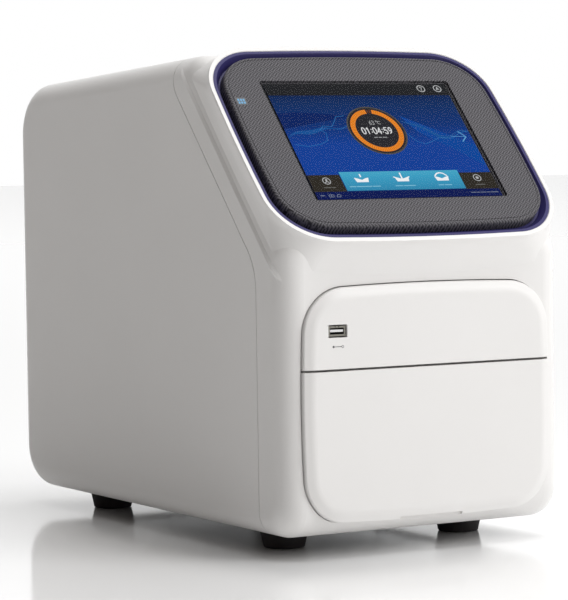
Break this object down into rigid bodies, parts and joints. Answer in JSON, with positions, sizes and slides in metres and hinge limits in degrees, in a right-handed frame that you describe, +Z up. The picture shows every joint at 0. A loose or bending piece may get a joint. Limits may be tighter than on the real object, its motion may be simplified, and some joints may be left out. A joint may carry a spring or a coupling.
{
  "type": "thermal cycler",
  "caption": "Bench real-time thermal cycler: slanted touch display in a raised collar over a front drawer that slides out with a heated sample block.",
  "frame": {"origin": "middle of the footprint at the underside of the feet", "axes": "+Z up, +Y towards the rear panel, the display and the drawer face -Y, +X to the right seen from the front"},
  "size_m": [0.2702, 0.5, 0.4013],
  "materials": {
    "white_plastic": "fine satin moulded",
    "grey_plastic": "fine speckled texture",
    "indigo_plastic": "gloss",
    "screen_glass": "clear polished",
    "screen": "lit display",
    "key_window": "printed touch symbol",
    "dark_plastic": "moulded",
    "black_gloss": "gloss",
    "rubber_dark": "moulded",
    "silicone": "soft",
    "sheet_steel": "zinc plated",
    "bright_steel": "ground",
    "aluminium": "machined",
    "black_aluminium": "black anodised",
    "ceramic_white": "fired",
    "lens_clear": "polished",
    "mirror": "coated",
    "filter_glass": "coated",
    "board_green": "solder mask",
    "brass_pins": "plated",
    "panel_grey": "powder coat",
    "white_insert": "moulded"
  },
  "bodies": {
    "chassis": {"front_cover": "white_plastic", "rear_cover": "white_plastic", "base_plate": "sheet_steel", "feet": "rubber_dark", "frame_left": "sheet_steel", "frame_right": "sheet_steel", "optics_deck": "sheet_steel", "accent_ring": "indigo_plastic", "display_bezel": "grey_plastic", "touch_glass": "screen_glass", "display_module": "screen", "display_bracket": "sheet_steel", "display_board": "board_green", "touch_key_window": "key_window", "upper_fascia": "white_plastic", "usb_shells": "bright_steel", "usb_tongues": "white_insert", "outer_rails": "sheet_steel", "drawer_motor": "black_aluminium", "guide_rods": "bright_steel", "cover_motors": "black_aluminium", "field_lens": "lens_clear", "optics_housing": "black_aluminium", "fold_mirror": "mirror", "beam_splitter": "filter_glass", "filter_motors": "black_aluminium", "filter_brackets": "sheet_steel", "led_module": "aluminium", "camera": "black_aluminium", "main_board": "board_green", "power_supply": "sheet_steel", "rear_panel": "panel_grey", "fan_frames": "dark_plastic", "fan_guards": "bright_steel", "power_inlet": "dark_plastic", "inlet_pins": "brass_pins", "switch_frame": "dark_plastic", "ethernet_jack": "dark_plastic", "cover_screws": "bright_steel"},
    "drawer": {"drawer_front": "white_plastic", "drawer_tray": "sheet_steel", "inner_rails": "sheet_steel", "drawer_rack": "bright_steel", "sample_block": "aluminium", "block_frame": "dark_plastic", "block_seal": "silicone", "peltier_modules": "ceramic_white", "heat_sink": "aluminium"},
    "pinion": {"drive_pinion": "bright_steel"},
    "heated_cover": {"heated_cover_plate": "aluminium", "cover_carriage": "aluminium"},
    "screw_left": {"lead_screw_left": "bright_steel"},
    "screw_right": {"lead_screw_right": "bright_steel"},
    "excitation_filter_wheel": {"excitation_wheel": "dark_plastic", "excitation_filters": "filter_glass"},
    "emission_filter_wheel": {"emission_wheel": "dark_plastic", "emission_filters": "filter_glass"},
    "fan_left": {"fan_rotor_left": "dark_plastic"},
    "fan_right": {"fan_rotor_right": "dark_plastic"},
    "rocker": {"power_switch": "black_gloss"}
  },
  "joints": [
    {"name": "drawer_slide", "type": "slide", "parent": "chassis", "child": "drawer", "axis": [0, -1, 0], "range_m": [0, 0.155]},
    {"name": "pinion_spin", "type": "hinge", "parent": "chassis", "child": "pinion", "pos_m": [-0.1, -0.185, 0.1025], "axis": [-1, 0, 0], "range_deg": [-10, 860]},
    {"name": "cover_lift", "type": "slide", "parent": "chassis", "child": "heated_cover", "axis": [0, 0, 1], "range_m": [0, 0.012]},
    {"name": "screw_left_spin", "type": "hinge", "parent": "chassis", "child": "screw_left", "pos_m": [-0.09, -0.16, 0.16], "axis": [0, 0, -1], "range_deg": [-20, 580]},
    {"name": "screw_right_spin", "type": "hinge", "parent": "chassis", "child": "screw_right", "pos_m": [0.09, -0.16, 0.16], "axis": [0, 0, -1], "range_deg": [-20, 580]},
    {"name": "excitation_index", "type": "hinge", "parent": "chassis", "child": "excitation_filter_wheel", "pos_m": [-0.025, -0.085, 0.282], "axis": [0, 0, 1], "continuous": true},
    {"name": "emission_index", "type": "hinge", "parent": "chassis", "child": "emission_filter_wheel", "pos_m": [0.025, -0.041, 0.24], "axis": [0, 1, 0], "continuous": true},
    {"name": "fan_left_spin", "type": "hinge", "parent": "chassis", "child": "fan_left", "pos_m": [-0.047, 0.233, 0.205], "axis": [0, 1, 0], "continuous": true},
    {"name": "fan_right_spin", "type": "hinge", "parent": "chassis", "child": "fan_right", "pos_m": [0.047, 0.233, 0.205], "axis": [0, 1, 0], "continuous": true},
    {"name": "power_rocker", "type": "hinge", "parent": "chassis", "child": "rocker", "pos_m": [0.062, 0.243, 0.092], "axis": [1, 0, 0], "range_deg": [0, 16]}
  ],
  "couplings": [
    {"joint": "pinion_spin", "follows": "drawer_slide", "rad_per_m": 95.238},
    {"joint": "screw_left_spin", "follows": "cover_lift", "rad_per_m": 785.4},
    {"joint": "screw_right_spin", "follows": "cover_lift", "rad_per_m": 785.4}
  ]
}
